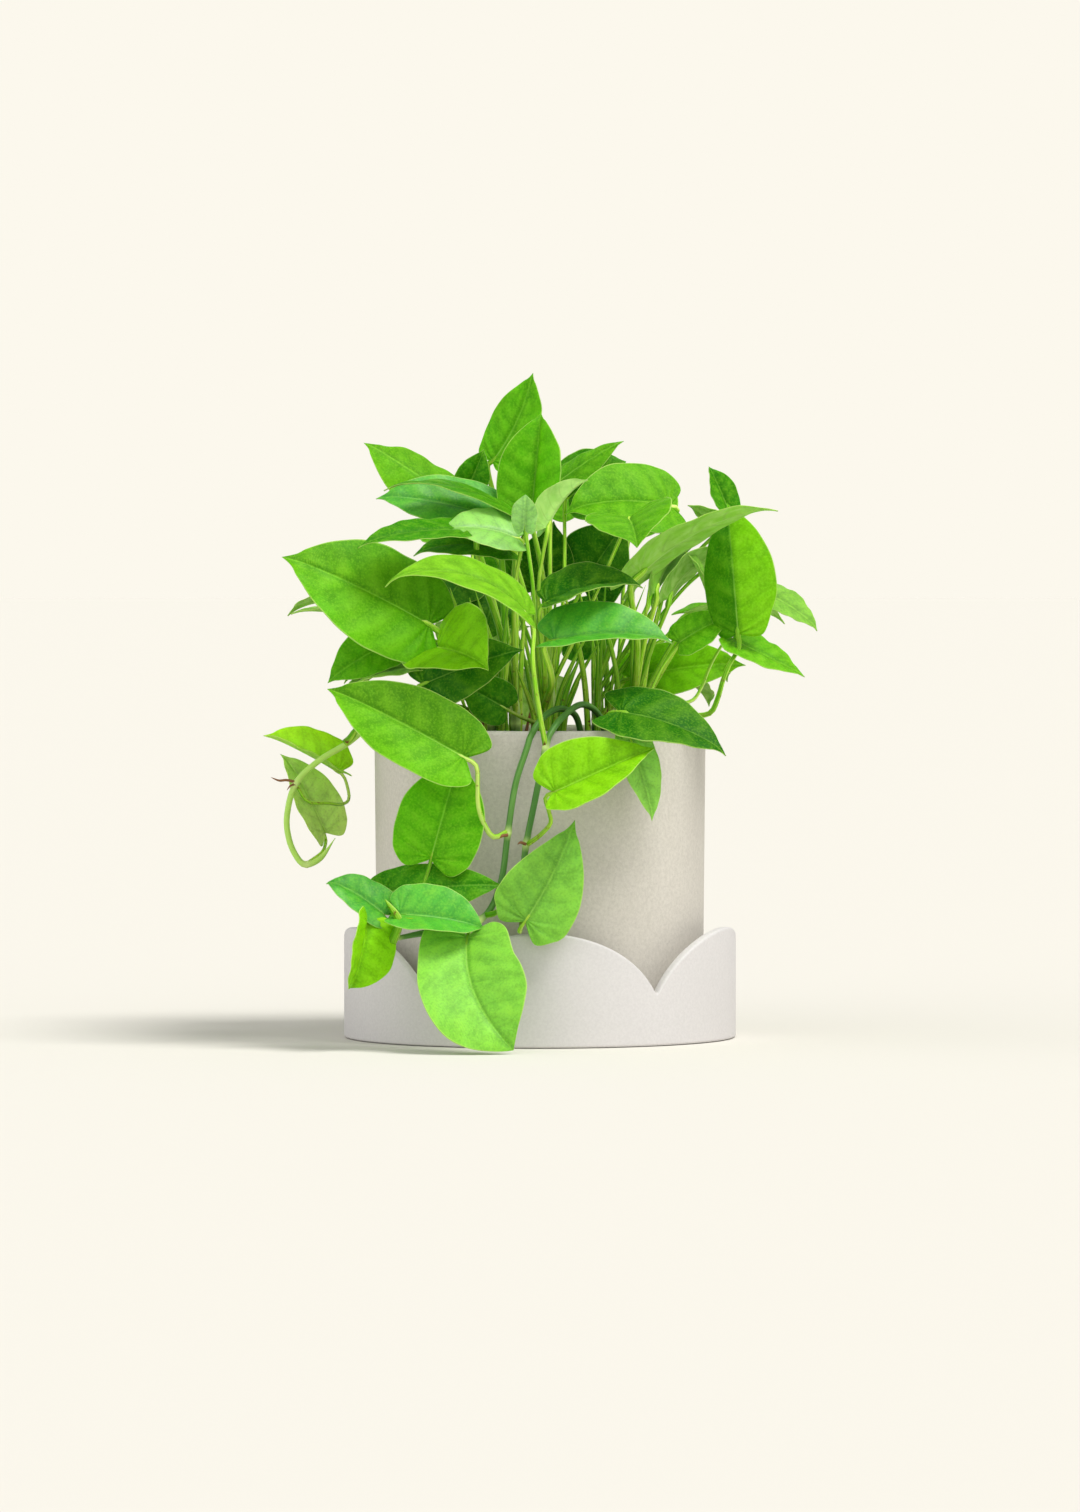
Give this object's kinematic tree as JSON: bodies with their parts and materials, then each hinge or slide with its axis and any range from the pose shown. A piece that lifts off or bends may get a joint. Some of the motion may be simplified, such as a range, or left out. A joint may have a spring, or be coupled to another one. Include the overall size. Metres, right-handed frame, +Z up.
{
  "type": "potted jade pothos",
  "caption": "Bushy trailing pothos with heart-shaped leaves, rooted in a plain cylinder planter that stands in a deep saucer with a scalloped rim.",
  "frame": {"origin": "centre of the saucer's flat underside, on the surface that it stands on", "axes": "+Z up, -Y towards the side that the picture was taken from, +X to the right seen from there"},
  "size_m": [0.2768, 0.2781, 0.3317],
  "materials": {
    "saucer": "smooth matte, warm white, slightly paler and pinker than the pot",
    "pot": "matte, finely speckled warm grey stoneware",
    "soil": "crumbly dark potting mix",
    "foliage": "waxy bright green upper faces, paler matte undersides and yellow-green stalks"
  },
  "bodies": {
    "root": {"saucer": "saucer", "pot": "pot", "soil": "soil", "vine_front_left": "foliage", "vine_front_right": "foliage", "vine_left": "foliage", "stem_left_low": "foliage", "stem_left_high": "foliage", "stem_centre": "foliage", "stem_right_high": "foliage", "stem_right": "foliage", "vine_right": "foliage", "stem_front_right": "foliage", "stem_front": "foliage", "stem_back_left": "foliage", "stem_back": "foliage", "stem_back_right": "foliage"}
  },
  "joints": []
}
